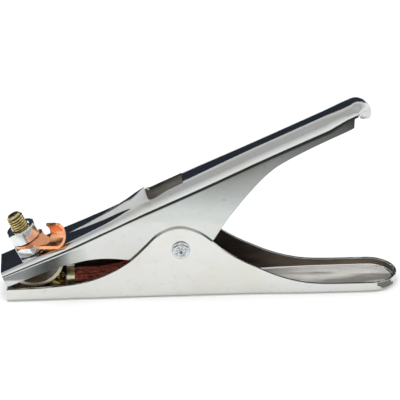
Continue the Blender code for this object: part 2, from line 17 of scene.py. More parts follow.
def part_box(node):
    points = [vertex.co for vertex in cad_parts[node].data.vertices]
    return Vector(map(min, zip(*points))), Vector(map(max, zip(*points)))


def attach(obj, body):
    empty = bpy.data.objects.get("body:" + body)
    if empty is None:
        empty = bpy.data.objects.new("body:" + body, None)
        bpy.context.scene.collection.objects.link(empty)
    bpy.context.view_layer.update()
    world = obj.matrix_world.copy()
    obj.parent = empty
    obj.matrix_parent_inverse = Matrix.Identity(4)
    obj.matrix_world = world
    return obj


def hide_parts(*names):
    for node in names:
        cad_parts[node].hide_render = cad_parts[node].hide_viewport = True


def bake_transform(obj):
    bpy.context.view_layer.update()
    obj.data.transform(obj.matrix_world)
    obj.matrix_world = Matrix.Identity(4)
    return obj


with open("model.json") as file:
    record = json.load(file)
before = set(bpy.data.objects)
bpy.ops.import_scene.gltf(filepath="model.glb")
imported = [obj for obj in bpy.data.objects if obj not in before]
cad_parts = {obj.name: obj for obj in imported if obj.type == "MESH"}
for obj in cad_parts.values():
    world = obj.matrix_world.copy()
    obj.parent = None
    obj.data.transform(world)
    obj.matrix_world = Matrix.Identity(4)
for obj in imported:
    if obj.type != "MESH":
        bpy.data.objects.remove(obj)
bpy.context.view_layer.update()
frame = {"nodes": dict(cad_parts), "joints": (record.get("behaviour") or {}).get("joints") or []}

MM = 0.001
JOINTS = {j["name"]: j for j in frame["joints"]}
PIVOT = Vector(JOINTS["jaw_hinge"]["pos_m"]) / MM
BOLT_AXIS = Vector(JOINTS["nut_spin"]["axis"]).normalized()
LEVER_TILT = math.atan2(-BOLT_AXIS.x, BOLT_AXIS.z)
JAW_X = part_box("lower_lever")[0].x / MM
HANDLE_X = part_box("lower_lever")[1].x / MM
LEVER = Matrix.Translation(PIVOT) @ Matrix.Rotation(-LEVER_TILT, 4, "Y")
LEVER_AXIS = Vector((math.cos(LEVER_TILT), 0, math.sin(LEVER_TILT)))
BOLT_S = (Vector(JOINTS["nut_spin"]["pos_m"]) / MM - PIVOT).dot(LEVER_AXIS)
BOLT = LEVER @ Matrix.Translation((BOLT_S, 0, 0))
ACROSS_PIVOT = Matrix.Translation(PIVOT) @ Matrix.Rotation(math.radians(90), 4, "X")
SHEET = 1.8
RIM = 0.3
PIVOT_HOLE_R, HOLE_REACH = 4.3, 25


# ---------------------------------------------------------------- tables and curves


def linear(rows, x):
    """Straight interpolation through a table of (position, value) rows."""
    return float(np.interp(x, [r[0] for r in rows], [r[1] for r in rows]))


def smooth(rows, x):
    """Catmull-Rom interpolation through a table of (position, value) rows."""
    xs = [r[0] for r in rows]
    ys = [r[1] for r in rows]
    if x <= xs[0] or x >= xs[-1]:
        return float(np.interp(x, xs, ys))
    i = int(np.searchsorted(xs, x, side="right")) - 1
    x0, x1, y0, y1 = xs[i], xs[i + 1], ys[i], ys[i + 1]
    left = (y1 - ys[max(i - 1, 0)]) / (x1 - xs[max(i - 1, 0)])
    right = (ys[min(i + 2, len(ys) - 1)] - y0) / (xs[min(i + 2, len(xs) - 1)] - x0)
    h = x1 - x0
    t = (x - x0) / h
    stay = 2 * t**3 - 3 * t**2 + 1
    return stay * y0 + (t**3 - 2 * t**2 + t) * h * left + (1 - stay) * y1 + (t**3 - t**2) * h * right


def ease(x, a, b):
    """0 below a, 1 above b, and a smooth step between."""
    t = min(max((x - a) / (b - a), 0.0), 1.0)
    return t * t * (3 - 2 * t)


def curve_through(points, steps):
    """Catmull-Rom curve through 3-D points."""
    pts = [Vector(p) for p in points]
    ext = [pts[0] * 2 - pts[1]] + pts + [pts[-1] * 2 - pts[-2]]
    out = []
    for i in range(1, len(ext) - 2):
        a, b, c, d = ext[i - 1:i + 3]
        for k in range(steps):
            t = k / steps
            out.append(0.5 * (2 * b + (c - a) * t + (2 * a - 5 * b + 4 * c - d) * t * t
                              + (3 * b - 3 * c + d - a) * t**3))
    out.append(pts[-1])
    return out


# ---------------------------------------------------------------- mesh helpers

MERGE = 0.0005
RIM_ANGLE = 35


def new_piece(name, bm, mat, body, replaces=(), sharp=RIM_ANGLE, bevel=0.0, turn=None):
    """Turns a bmesh in millimetres into a piece that rides on a body."""
    bmesh.ops.remove_doubles(bm, verts=bm.verts, dist=MERGE)
    bmesh.ops.recalc_face_normals(bm, faces=bm.faces)
    if turn is not None:
        bmesh.ops.transform(bm, matrix=turn, verts=bm.verts)
    bmesh.ops.scale(bm, vec=(MM, MM, MM), verts=bm.verts)
    for f in bm.faces:
        f.smooth = True
    mesh = bpy.data.meshes.new(name)
    bm.to_mesh(mesh)
    bm.free()
    mesh.set_sharp_from_angle(angle=math.radians(sharp))
    mesh.materials.append(mat)
    obj = bpy.data.objects.new(name, mesh)
    bpy.context.scene.collection.objects.link(obj)
    if bevel:
        mod = obj.modifiers.new("edges", "BEVEL")
        mod.width = bevel * MM
        mod.segments = 2
        mod.limit_method = "ANGLE"
        mod.angle_limit = math.radians(sharp)
        mod.harden_normals = True
    if replaces:
        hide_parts(*replaces)
    if body:
        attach(obj, body)
    return obj


def skin(bm, rows, closed_ring=True, caps=True, skip=None):
    """Faces between rows of vertices; skip(row, column) leaves a cell open."""
    n = len(rows[0])
    last = n if closed_ring else n - 1
    for i, (a, b) in enumerate(zip(rows[:-1], rows[1:])):
        for k in range(last):
            if skip and skip(i, k):
                continue
            quad = list(dict.fromkeys([a[k], a[(k + 1) % n], b[(k + 1) % n], b[k]]))
            if len(quad) > 2:
                bm.faces.new(quad)
    if caps:
        bm.faces.new(list(reversed(rows[0])))
        bm.faces.new(rows[-1])


def loft(rings, closed_ring=True, caps=True):
    """A skin over rings of points."""
    bm = bmesh.new()
    skin(bm, [[bm.verts.new(p) for p in ring] for ring in rings], closed_ring, caps)
    return bm


def tube(path, radius, sides, wide=1.0):
    """A round or oval tube along a path; wide stretches it sideways."""
    rings = []
    normal = Vector((0, 1, 0))
    for i, p in enumerate(path):
        d = (path[min(i + 1, len(path) - 1)] - path[max(i - 1, 0)]).normalized()
        normal = (normal - d * normal.dot(d)).normalized()
        other = d.cross(normal)
        ring = []
        for k in range(sides):
            a = 2 * math.pi * k / sides
            ring.append(p + normal * (radius * wide * math.cos(a)) + other * (radius * math.sin(a)))
        rings.append(ring)
    return loft(rings)


def cut(obj, bm, name):
    """Cuts a bmesh in millimetres out of a piece, once and for all, before its other modifiers."""
    bmesh.ops.recalc_face_normals(bm, faces=bm.faces)
    bmesh.ops.scale(bm, vec=(MM, MM, MM), verts=bm.verts)
    mesh = bpy.data.meshes.new(name)
    bm.to_mesh(mesh)
    bm.free()
    tool = bpy.data.objects.new(name, mesh)
    bpy.context.scene.collection.objects.link(tool)
    mod = obj.modifiers.new(name, "BOOLEAN")
    mod.operation = "DIFFERENCE"
    mod.solver = "EXACT"
    mod.object = tool
    kept = [m for m in obj.modifiers if m.type != "BOOLEAN"]
    for m in kept:
        m.show_viewport = False
    bpy.context.view_layer.update()
    done = bpy.data.meshes.new_from_object(obj.evaluated_get(bpy.context.evaluated_depsgraph_get()))
    obj.modifiers.remove(mod)
    for m in kept:
        m.show_viewport = True
    done.set_sharp_from_angle(angle=math.radians(RIM_ANGLE))
    obj.data = done
    bpy.data.objects.remove(tool)


def flat_walls(obj):
    """Large faces keep their own direction, so that only the narrow rounds beside them bend the shading."""
    mod = obj.modifiers.new("flat_walls", "WEIGHTED_NORMAL")
    mod.mode = "FACE_AREA"
    mod.weight = 50
    mod.keep_sharp = True


def rod(radius, low, high):
    bm = bmesh.new()
    bmesh.ops.create_cone(bm, cap_ends=True, segments=48, radius1=radius, radius2=radius, depth=high - low)
    bmesh.ops.translate(bm, verts=bm.verts, vec=(0, 0, (low + high) / 2))
    return bm


def moved(bm, matrix):
    bmesh.ops.transform(bm, matrix=matrix, verts=bm.verts)
    return bm


# ---------------------------------------------------------------- materials


class Nodes:
    """A Principled material and short ways to add nodes to it."""

    def __init__(self, name, color, rough, metallic=1.0):
        self.mat = bpy.data.materials.new(name)
        self.mat.use_nodes = True
        self.tree = self.mat.node_tree
        self.shader = self.tree.nodes["Principled BSDF"]
        self.shader.inputs["Base Color"].default_value = (*color, 1.0)
        self.shader.inputs["Roughness"].default_value = rough
        self.shader.inputs["Metallic"].default_value = metallic
        self.coord = self.add("ShaderNodeTexCoord")

    def add(self, kind, **values):
        node = self.tree.nodes.new(kind)
        for key, value in values.items():
            if isinstance(value, (str, bool)):
                setattr(node, key, value)
            else:
                node.inputs[key].default_value = value
        return node

    def link(self, a, b):
        self.tree.links.new(a, b)

    def noise(self, scale, detail=4.0, stretch=(1, 1, 1), rotation=(0, 0, 0), rough=0.55, distortion=0.0):
        mapping = self.add("ShaderNodeMapping", Scale=stretch, Rotation=rotation)
        self.link(self.coord.outputs["Object"], mapping.inputs["Vector"])
        n = self.add("ShaderNodeTexNoise", Scale=scale, Detail=detail, Roughness=rough, Distortion=distortion)
        self.link(mapping.outputs["Vector"], n.inputs["Vector"])
        return n.outputs["Fac"]

    def span(self, source, low, high, a=0.35, b=0.65):
        """Maps the source from a..b to low..high."""
        m = self.add("ShaderNodeMapRange")
        m.inputs["From Min"].default_value = a
        m.inputs["From Max"].default_value = b
        m.inputs["To Min"].default_value = low
        m.inputs["To Max"].default_value = high
        self.link(source, m.inputs["Value"])
        return m.outputs["Result"]

    def math(self, operation, a, b):
        m = self.add("ShaderNodeMath", operation=operation)
        self.link(a, m.inputs[0])
        self.link(b, m.inputs[1])
        return m.outputs["Value"]

    def axis(self, name):
        split = self.add("ShaderNodeSeparateXYZ")
        self.link(self.coord.outputs["Object"], split.inputs["Vector"])
        return split.outputs[name]

    def away_from_middle(self):
        m = self.add("ShaderNodeMath", operation="ABSOLUTE")
        self.link(self.axis("Y"), m.inputs[0])
        return m.outputs["Value"]

    def mix(self, factor, a, b):
        m = self.add("ShaderNodeMix", data_type="RGBA")
        sockets = [s for s in m.inputs if s.type == "RGBA"]
        for socket, value in zip(sockets, (a, b)):
            if isinstance(value, tuple):
                socket.default_value = (*value, 1)
            else:
                self.link(value, socket)
        self.link(factor, m.inputs["Factor"])
        return [s for s in m.outputs if s.type == "RGBA"][0]

    def bump(self, source, strength, distance, under=None):
        b = self.add("ShaderNodeBump", Strength=strength, Distance=distance)
        self.link(source, b.inputs["Height"])
        if under is not None:
            self.link(under, b.inputs["Normal"])
        return b.outputs["Normal"]

    def color(self, socket):
        self.link(socket, self.shader.inputs["Base Color"])

    def rough(self, socket):
        self.link(socket, self.shader.inputs["Roughness"])

    def normal(self, socket):
        self.link(socket, self.shader.inputs["Normal"])


# Painted shade: the brown and darker brown that plated_steel lays where its shade mask is on.
PAINTED_SHADE_BROWN, PAINTED_SHADE_DARK = (0.17, 0.135, 0.11), (0.075, 0.06, 0.052)
CRUMPLE_START, CRUMPLE_END = 0.088, 0.101


def plated_steel(name, tint, rough, shade_cover=None, metallic=1.0):
    """Bright zinc plate: cloudy patches, rolling lines, scuffs and a wavy sheet, crumpled at the bow.

    If a shade mask function is given, it is called with the material and returns where painted shade, a dull
    brown layer, covers the plate.
    """
    n = Nodes(name, tint, rough, metallic)
    cloud = n.noise(38, 5, (1, 1, 1.6), (0.3, 0.5, 0.2))
    spots = n.noise(300, 3)
    dark = tuple(c * 0.80 for c in tint)
    warm = (tint[0] * 0.95, tint[1] * 0.93, tint[2] * 0.86)
    color = n.mix(n.span(cloud, 0.0, 0.8, 0.45, 0.72), tint, warm)
    color = n.mix(n.span(spots, 0.0, 0.6, 0.60, 0.74), color, dark)
    patch = n.noise(90, 4)
    lines = n.noise(900, 2, (0.05, 1, 1))
    roughness = n.math("ADD", n.span(patch, rough * 0.75, rough * 1.35, 0.3, 0.7),
                       n.span(lines, -0.02, 0.03, 0.3, 0.7))
    # Painted shade: where the mask is on, the colour turns to the shade browns and the roughness rises.
    if shade_cover:
        shade_mask = shade_cover(n)
        stain_and_shade = n.mix(n.span(n.noise(120, 4, (0.25, 1, 1)), 0.0, 1.0, 0.35, 0.65), PAINTED_SHADE_BROWN, PAINTED_SHADE_DARK)
        color = n.mix(shade_mask, color, stain_and_shade)
        roughness = n.math("ADD", roughness, n.span(shade_mask, 0.0, 0.22, 0.0, 1.0))
    n.color(color)
    n.rough(roughness)
    under = n.bump(n.noise(22, 2), 0.35, 0.0005)
    end = n.span(n.axis("X"), 0.0, 1.0, CRUMPLE_START, CRUMPLE_END)
    under = n.bump(n.math("MULTIPLY", end, n.noise(240, 2)), 0.9, 0.0012, under)
    n.normal(n.bump(n.noise(420, 3, (0.25, 1, 1)), 0.06, 0.00008, under))
    return n.mat


def shade_near_jaw(n):
    """Painted shade on the jaw's half, fading out behind the pivot."""
    return n.span(n.axis("X"), 1.0, 0.0, 0.018, 0.062)


def shade_and_streaks(n):
    """Painted shade near the jaw, and long dark streaks of the same colour elsewhere."""
    streaks = n.span(n.noise(70, 4, (0.22, 1.6, 1)), 0.0, 0.75, 0.50, 0.62)
    return n.math("MAXIMUM", shade_near_jaw(n), streaks)


# A mask that is on all over: painted shade on the whole surface.
def shaded_all_over(n):
    shade_mask = n.add("ShaderNodeValue")
    shade_mask.outputs[0].default_value = 1.0
    return shade_mask.outputs[0]


def plain_metal(name, tint, rough, stain_and_shade, amount=0.5, scale=180, grain=0.08, edge=None):
    """Metal with blotches of a second colour and a fine grain.

    edge is a colour for the side edges and the distance from the middle plane at which they begin.
    """
    n = Nodes(name, tint, rough)
    blotch = n.noise(scale, 5)
    color = n.mix(n.span(blotch, 0.0, amount, 0.42, 0.68), tint, stain_and_shade)
    if edge:
        color = n.mix(n.span(n.away_from_middle(), 0.0, 1.0, edge[1] - 0.0001, edge[1]), color, edge[0])
    n.color(color)
    n.rough(n.span(n.noise(scale * 2.2, 4), rough * 0.7, rough * 1.4, 0.3, 0.7))
    n.normal(n.bump(n.noise(scale * 7, 3), grain, 0.0001))
    return n.mat


STEEL = plated_steel("sheet_zinc_plate", (0.66, 0.66, 0.64), 0.12)
# Lower lever's inside walls: painted shade, dark brown all over.
WALL_INSIDE_SHADE = plated_steel("wall_inside_painted_shade", (0.5, 0.5, 0.5), 0.2, shaded_all_over)
# Lower lever's inside web: painted shade near the jaw, and dark streaks elsewhere.
WEB_INSIDE_SHADE_AND_STREAKS = plated_steel("web_inside_shade_and_streaks", (0.84, 0.83, 0.80), 0.46, shade_and_streaks, metallic=0.5)
STEEL_TOP = plated_steel("sheet_zinc_plate_upper", (0.59, 0.595, 0.585), 0.09)
# Upper lever's inner skin: a darker, browner, duller copy of the plate, painted shade.
STEEL_INSIDE_SHADED = plated_steel("sheet_zinc_plate_inside_shaded", (0.46, 0.43, 0.40), 0.40, metallic=0.45)
RIVET = plain_metal("swaged_zinc_plate", (0.66, 0.69, 0.70), 0.14, (0.26, 0.28, 0.29), 0.8, 420, 0.15)
BUSH = plain_metal("turned_steel", (0.36, 0.36, 0.36), 0.38, (0.25, 0.23, 0.2), 0.6)
SPRING = plain_metal("drawn_wire", (0.50, 0.48, 0.45), 0.34, (0.30, 0.27, 0.24), 0.7)
WHITE_ZINC = plain_metal("white_zinc_plate", (0.80, 0.81, 0.81), 0.13, (0.58, 0.60, 0.60), 0.5, 220)
YELLOW_ZINC = plain_metal("yellow_zinc_plate", (0.80, 0.70, 0.36), 0.20, (0.36, 0.24, 0.10), 0.85, 420)
# Contact strips: near-black brown, painted shade inside the jaw; beige only at their side edges.
CONTACT_BRASS_SHADED = plain_metal("contact_strip_painted_shade", (0.12, 0.09, 0.065), 0.42, (0.05, 0.04, 0.03), 0.8, 300,
                    edge=((0.66, 0.60, 0.45), 0.01035))
COPPER = plain_metal("lug_copper", (0.93, 0.45, 0.235), 0.22, (0.74, 0.27, 0.12), 0.5, 150)
BRAID = plain_metal("stranded_copper", (0.46, 0.13, 0.085), 0.36, (0.13, 0.03, 0.025), 0.9, 520)
# Thread roots: dark brown, painted shade in the grooves.
THREAD_ROOT_SHADE = plain_metal("thread_root_painted_shade", (0.17, 0.12, 0.05), 0.42, (0.07, 0.05, 0.02), 0.8, 420)
# Core under the braid's wires: near black, painted shade between the wires.
BRAID_SHADE_CORE = plain_metal("braid_core_painted_shade", (0.06, 0.016, 0.012), 0.6, (0.03, 0.01, 0.008), 0.8)
TAG = plain_metal("tag_plate", (0.78, 0.74, 0.50), 0.34, (0.50, 0.40, 0.20), 0.6, 300)


# ---------------------------------------------------------------- lower lever

LOWER_RADIUS = 3.2
BOW_HALF = 16.5
LOWER_STEP, BOW_STEP = 1.6, 3
LOWER_END = HANDLE_X - JAW_X - BOW_HALF
LOWER_WALL = (
    (0, 8.4), (19, 8.7), (33, 9.8), (44, 11.3), (52, 13.6), (60, 17.0), (67, 21.0), (73, 25.3), (81, 33.4),
    (86, 38.8), (91, 42.3), (96, 44.4), (101, 45.0), (106, 44.0), (113, 40.6), (119, 35.9), (125, 30.6),
    (131, 26.2), (138, 21.9), (145, 18.4), (152, 14.9), (160, 11.6), (168, 9.2), (176, 7.6), (186, 6.8),
    (200, 6.6), (212.6, 6.6), (230, 6.6),
)
LOWER_HALF = ((0, 15.0), (140, 15.0), (165, 16.0), (185, BOW_HALF), (230, BOW_HALF))


def lower_section(half, height):
    """(distance in from the outside, height) from the web's middle, up the outside and down the inside."""
    r, t, c = LOWER_RADIUS, SHEET, RIM
    arc = [math.radians(a) for a in np.linspace(0, 90, 10)]
    inner = r - t
    pts = [(half, 0.0), (half * 0.5, 0.0)]
    pts += [(r - r * math.sin(a), r - r * math.cos(a)) for a in arc]
    pts += [(0.0, height - c), (0.3 * c, height - 0.3 * c), (c, height)]
    pts += [(t - c, height), (t - 0.3 * c, height - 0.3 * c), (t, height - c)]
    pts += [(r - inner * math.sin(a), r - inner * math.cos(a)) for a in reversed(arc)]
    pts += [(half * 0.5, t), (half, t)]
    return pts


WALL_COLUMN, WEB_COLUMNS, FOLD_UNSHADED_X = 17, 5, 25.0


def lower_lever():
    """Down the near wall, round the bow and back along the far wall, in three materials: the plate outside
    and on the fold away from the jaw, and painted shade on the inside walls and web.
    """
    xs = list(np.arange(0, LOWER_END, LOWER_STEP)) + [LOWER_END]
    turns = np.radians(np.arange(BOW_STEP - 90, 91 - BOW_STEP, BOW_STEP))
    walls = [(x, 0.0, -1.0) for x in xs]
    walls += [(LOWER_END, math.cos(a), math.sin(a)) for a in turns]
    walls += [(x, 0.0, 1.0) for x in reversed(xs)]
    rings = []
    for x, nx, ny in walls:
        half = smooth(LOWER_HALF, x)
        pts = lower_section(half, smooth(LOWER_WALL, x))
        rings.append([Vector((JAW_X + x + nx * (half - d), ny * (half - d), z)) for d, z in pts])
    bm = loft(rings, closed_ring=False)
    columns = len(rings[0]) - 1
    for i, f in enumerate(bm.faces):
        column = i % columns
        # The fold's arcs away from the jaw keep the bright plate, without the painted shade of the wall and
        # web.
        fold = WALL_COLUMN + 1 < column < columns - WEB_COLUMNS and f.calc_center_median().x > FOLD_UNSHADED_X
        f.material_index = 0 if fold or column < WALL_COLUMN else 2 if column >= columns - WEB_COLUMNS else 1
    obj = new_piece("lower_lever_shell", bm, STEEL, None)
    obj.data.materials.append(WALL_INSIDE_SHADE)
    obj.data.materials.append(WEB_INSIDE_SHADE_AND_STREAKS)
    cut(obj, moved(rod(PIVOT_HOLE_R, -HOLE_REACH, HOLE_REACH), ACROSS_PIVOT), "pivot_hole")
    flat_walls(obj)
    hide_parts("lower_lever")
    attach(obj, "lower")


lower_lever()

# ---------------------------------------------------------------- upper lever

UPPER_HALF = ((-100, 14.0), (-60, 14.0), (-36, 12.9), (22, 12.9), (60, 11.7), (116, 11.4), (134, 10.6))
UPPER_TANGENT = ((-100, 28.6), (-64, 27.2), (-38, 27.0), (-20, 27.4), (108, 27.3), (119, 29.6), (134, 29.6))
UPPER_TOP = ((-100, 32.0), (-36, 32.0), (-18, 33.6), (-4, 35.2), (134, 35.2))
UPPER_CORNER = ((-100, 2.6), (-64, 3.8), (-36, 4.6), (-18, 8.0), (-4, 11.2), (134, 10.4))
UPPER_EDGE = (
    (-100, 22.8), (-67, 20.9), (-60, 19.4), (-53, 17.8), (-46, 15.3), (-40, 12.4), (-34, 8.8), (-29, 5.6),
    (-22, 0.8), (-14, -5.0), (-6, -9.2), (2, -10.6), (10, -9.2), (18, -4.8), (26, 0.5), (33, 5.0), (41, 9.2),
    (49, 13.2), (59, 17.7), (66, 20.2), (73, 21.8), (87, 23.0), (102, 23.5), (119.6, 23.7), (120.6, 24.4),
    (122.8, 28.7), (124, 28.7),
)
RIB_START, RIB_END, RIB_FADE, RIB_HEIGHT, RIB_HALF, RIB_CREST = -56.0, -4.2, 16, 4.0, 8.9, 0.05
WINDOW_START, WINDOW_END = -4.2, 18.2
WINDOW = ((-4.2, 7.2), (-3.8, 7.9), (-3.0, 8.3), (1, 8.3), (7, 7.2), (18.2, 6.8))
NOSE_START, NOSE_CENTRE_Z, NOSE_STRETCH, NOSE_NARROWING = 123.8, 27.0, 1.12, 0.42
NOSE_TURN, NOSE_STEPS = math.radians(130), 30
EDGE_GAP = 0.8
BOLT_HOLE_R, BOLT_HOLE_LOW, BOLT_HOLE_HIGH = 5.3, 27, 36


def rib_size(s):
    """The rib grows from nothing near the jaw to its full size at the window, and fades out behind it."""
    if s > RIB_END:
        return 1.0 - ease(s, RIB_END, RIB_END + RIB_FADE)
    return max((s - RIB_START) / (RIB_END - RIB_START), 0.0)


def window_half(s):
    """Half width of the opening at s, and 0 outside it."""
    return linear(WINDOW, s) if WINDOW_START < s <= WINDOW_END else 0.0


def crown_height(s, y, inset):
    """Height of the top skin: flat in the middle, elliptical shoulders, and the rib on top."""
    half = smooth(UPPER_HALF, s)
    tangent = linear(UPPER_TANGENT, s)
    corner = linear(UPPER_CORNER, s)
    rise = smooth(UPPER_TOP, s) - tangent - inset
    away = max(abs(y) - (half - corner), 0.0)
    z = tangent + rise * math.sqrt(max(0.0, 1.0 - (away / (corner - inset)) ** 2))
    grow = rib_size(s)
    reach = max(RIB_HALF * grow, 0.5)
    slope = max(0.0, 1.0 - math.hypot(y / reach, RIB_CREST))
    return z + RIB_HEIGHT * grow * slope / (1.0 - RIB_CREST)


CORE_COLUMNS, FOOT_COLUMNS, SIDE_COLUMNS = 5, 5, 12
CORE_MIN, CORE_GROWS_FROM, FOOT_GAP, SIDE_MIN = 1.1, -40, 0.7, 2.0


def columns_across(s, inset):
    """Positions of the skin's columns from side to side; the window's edge and the rib's foot are columns."""
    half = smooth(UPPER_HALF, s) - inset
    inner = window_half(s)
    if s > WINDOW_END:
        inner = WINDOW[-1][1]
    elif inner == 0.0:
        inner = CORE_MIN + (WINDOW[0][1] - CORE_MIN) * ease(s, CORE_GROWS_FROM, WINDOW_START)
    foot = min(max(RIB_HALF * rib_size(s), inner + FOOT_GAP), half - SIDE_MIN)
    core = [inner * k / CORE_COLUMNS for k in range(CORE_COLUMNS)]
    middle = [inner + (foot - inner) * k / FOOT_COLUMNS for k in range(FOOT_COLUMNS + 1)]
    turns = [math.pi / 2 * k / SIDE_COLUMNS for k in range(1, SIDE_COLUMNS + 1)]
    side = [foot + (half - foot) * math.sin(a) for a in turns]
    right = core + middle + side
    return [-y for y in reversed(right[1:])] + right


def upper_skin(s, edge, inset):
    """(y, z) across one skin: up one side wall, over the crown and down the other."""
    half = smooth(UPPER_HALF, s) - inset
    tangent = linear(UPPER_TANGENT, s)
    drop = [(half, edge + RIM + (tangent - edge - RIM) * f) for f in (0.0, 0.25, 0.5, 0.75)]
    low = (half - RIM, edge) if inset == 0.0 else (half + RIM, edge)
    top = [(y, crown_height(s, y, inset)) for y in columns_across(s, inset)]
    right = [low] + drop
    left = [(-y, z) for y, z in right]
    return left + top + list(reversed(right))


def nose_point(s, y, z, turn):
    """A point of the section at s, rolled down about the nose's centre by turn."""
    rise = z - NOSE_CENTRE_Z
    narrow = 1.0 - NOSE_NARROWING * ease(turn, math.radians(15), math.radians(115))
    return LEVER @ Vector((s + NOSE_STRETCH * rise * math.sin(turn), y * narrow,
                           NOSE_CENTRE_Z + rise * math.cos(turn)))


def upper_stations():
    """(station, turn of the nose) along the lever, with stations on both sides of the window's ends."""
    xs = list(np.arange(-100, WINDOW_START - 0.4, 1.4))
    xs += [WINDOW_START - 0.25, WINDOW_START + 0.02, WINDOW_START + 0.15, WINDOW_START + 0.45]
    xs += list(np.arange(WINDOW_START + 0.9, WINDOW_END, 0.8))
    xs += [WINDOW_END, WINDOW_END + 0.02] + list(np.arange(WINDOW_END + 0.8, 119.0, 1.6))
    xs += [119.4, 119.9, 120.3, 120.6, 121.1, 121.7, 122.3, 122.8, 123.3]
    rows = [(float(s), 0.0) for s in xs]
    return rows + [(NOSE_START, NOSE_TURN * k / NOSE_STEPS) for k in range(NOSE_STEPS + 1)]


def upper_lever():
    """Two skins with the window left open in both, closed along every edge."""
    bm = bmesh.new()
    outer, inner, windowed = [], [], []
    for s, turn in upper_stations():
        edge = min(smooth(UPPER_EDGE, s), linear(UPPER_TANGENT, s) - EDGE_GAP)
        outer.append([bm.verts.new(nose_point(s, y, z, turn)) for y, z in upper_skin(s, edge, 0.0)])
        inner.append([bm.verts.new(nose_point(s, y, z, turn)) for y, z in upper_skin(s, edge, SHEET)])
        windowed.append(turn == 0.0 and window_half(s) > 0.0)
    n = len(outer[0])
    middle = n // 2
    lo, hi = middle - CORE_COLUMNS, middle + CORE_COLUMNS

    def open_cell(i, k):
        return windowed[i] and windowed[i + 1] and lo <= k < hi

    skin(bm, outer, closed_ring=False, caps=False, skip=open_cell)
    outside = set(bm.faces)
    skin(bm, inner, closed_ring=False, caps=False, skip=open_cell)
    # The inner skin takes the darker copy of the plate: painted shade.
    for f in bm.faces:
        f.material_index = 0 if f in outside else 1
    for i in range(len(outer) - 1):
        for k in (0, n - 1):
            bm.faces.new([outer[i][k], outer[i + 1][k], inner[i + 1][k], inner[i][k]])
        if windowed[i] and windowed[i + 1]:
            for k in (lo, hi):
                bm.faces.new([outer[i][k], outer[i + 1][k], inner[i + 1][k], inner[i][k]])
        if windowed[i] != windowed[i + 1]:
            j = i + 1 if windowed[i + 1] else i
            for k in range(lo, hi):
                bm.faces.new([outer[j][k], outer[j][k + 1], inner[j][k + 1], inner[j][k]])
    for row in (0, -1):
        for k in range(n - 1):
            bm.faces.new([outer[row][k], outer[row][k + 1], inner[row][k + 1], inner[row][k]])
    obj = new_piece("upper_lever_shell", bm, STEEL_TOP, None, sharp=38)
    obj.data.materials.append(STEEL_INSIDE_SHADED)
    cut(obj, moved(rod(PIVOT_HOLE_R, -HOLE_REACH, HOLE_REACH), ACROSS_PIVOT), "pivot")
    cut(obj, moved(rod(BOLT_HOLE_R, BOLT_HOLE_LOW, BOLT_HOLE_HIGH), BOLT), "bolt")
    flat_walls(obj)
    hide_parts("upper_lever")
    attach(obj, "upper")


upper_lever()

# ---------------------------------------------------------------- terminal stack

THREAD_R, THREAD_CORE, THREAD_PITCH, THREAD_SHADE_R = 4.9, 4.1, 1.5, 4.42
HEAD_LOW, HEAD_TOP, THREAD_LOW, BOLT_TOP = 21.45, 26.45, 46.8, 57.0
NUT_FLATS, NUT_TURN = 17.0, math.radians(-22)
NUT_DROPS = (0.0, 0.12, 0.3, 0.5, 0.7, 0.9, 1.1)
NUT_FACE_GAP, NUT_SLOPE, BORE_GAP, BORE_CHAMFER = 0.25, 1.75, 0.25, 0.7
HEAD_FLATS, HEAD_FACE_R, ROWS_PER_TURN = 16.0, 7.4, 14
NUTS = {"base_nut": (32.25, 38.2, "upper"), "terminal_nut": (40.4, 48.3, "nut")}


def hexagon(flats, angle):
    """Distance from the axis to the hexagon's outline, with its corner slightly rounded."""
    wedge = angle % (math.pi / 3) - math.pi / 6
    return min(flats / 2 / math.cos(wedge), flats / math.sqrt(3) - 0.12)


def polar_rings(rows, sides):
    """Rings from (height, radius as a function of angle) rows."""
    turn = [2 * math.pi * k / sides for k in range(sides)]
    return [[Vector((r(a) * math.cos(a), r(a) * math.sin(a), z)) for a in turn] for z, r in rows]


def nut(name, low, high, body):
    """Hexagon cut by a cone at both faces, with a chamfered bore."""
    def outline(drop):
        limit = NUT_FLATS / 2 - NUT_FACE_GAP + drop * NUT_SLOPE
        return lambda a: min(hexagon(NUT_FLATS, a), limit)

    bore = THREAD_R + BORE_GAP
    mouth = bore + 0.75
    rows = [(low + d, outline(d)) for d in NUT_DROPS] + [(high - d, outline(d)) for d in reversed(NUT_DROPS)]
    rows += [(high, lambda a: mouth), (high - BORE_CHAMFER, lambda a: bore),
             (low + BORE_CHAMFER, lambda a: bore), (low, lambda a: mouth), (low, outline(0.0))]
    turn = BOLT @ Matrix.Rotation(NUT_TURN, 4, "Z")
    new_piece(name + "_hex", loft(polar_rings(rows, 144), caps=False), WHITE_ZINC, body, [name],
              sharp=25, turn=turn)


for nut_name, (nut_low, nut_high, nut_body) in NUTS.items():
    nut(nut_name, nut_low, nut_high, nut_body)


def thread_radius(z, low, high):
    """Radius of the helical thread at height z, which fades out at both ends."""
    fade = max(0.0, min(1.0, (z - low) / THREAD_PITCH, (high - z) / (0.7 * THREAD_PITCH)))

    def radius(a):
        phase = ((z - low) / THREAD_PITCH - a / (2 * math.pi)) % 1.0
        height = min(1.0, max(0.0, 1.45 * (1.0 - abs(2 * phase - 1.0)) - 0.15))
        return THREAD_CORE + (THREAD_R - THREAD_CORE) * height * fade

    return radius


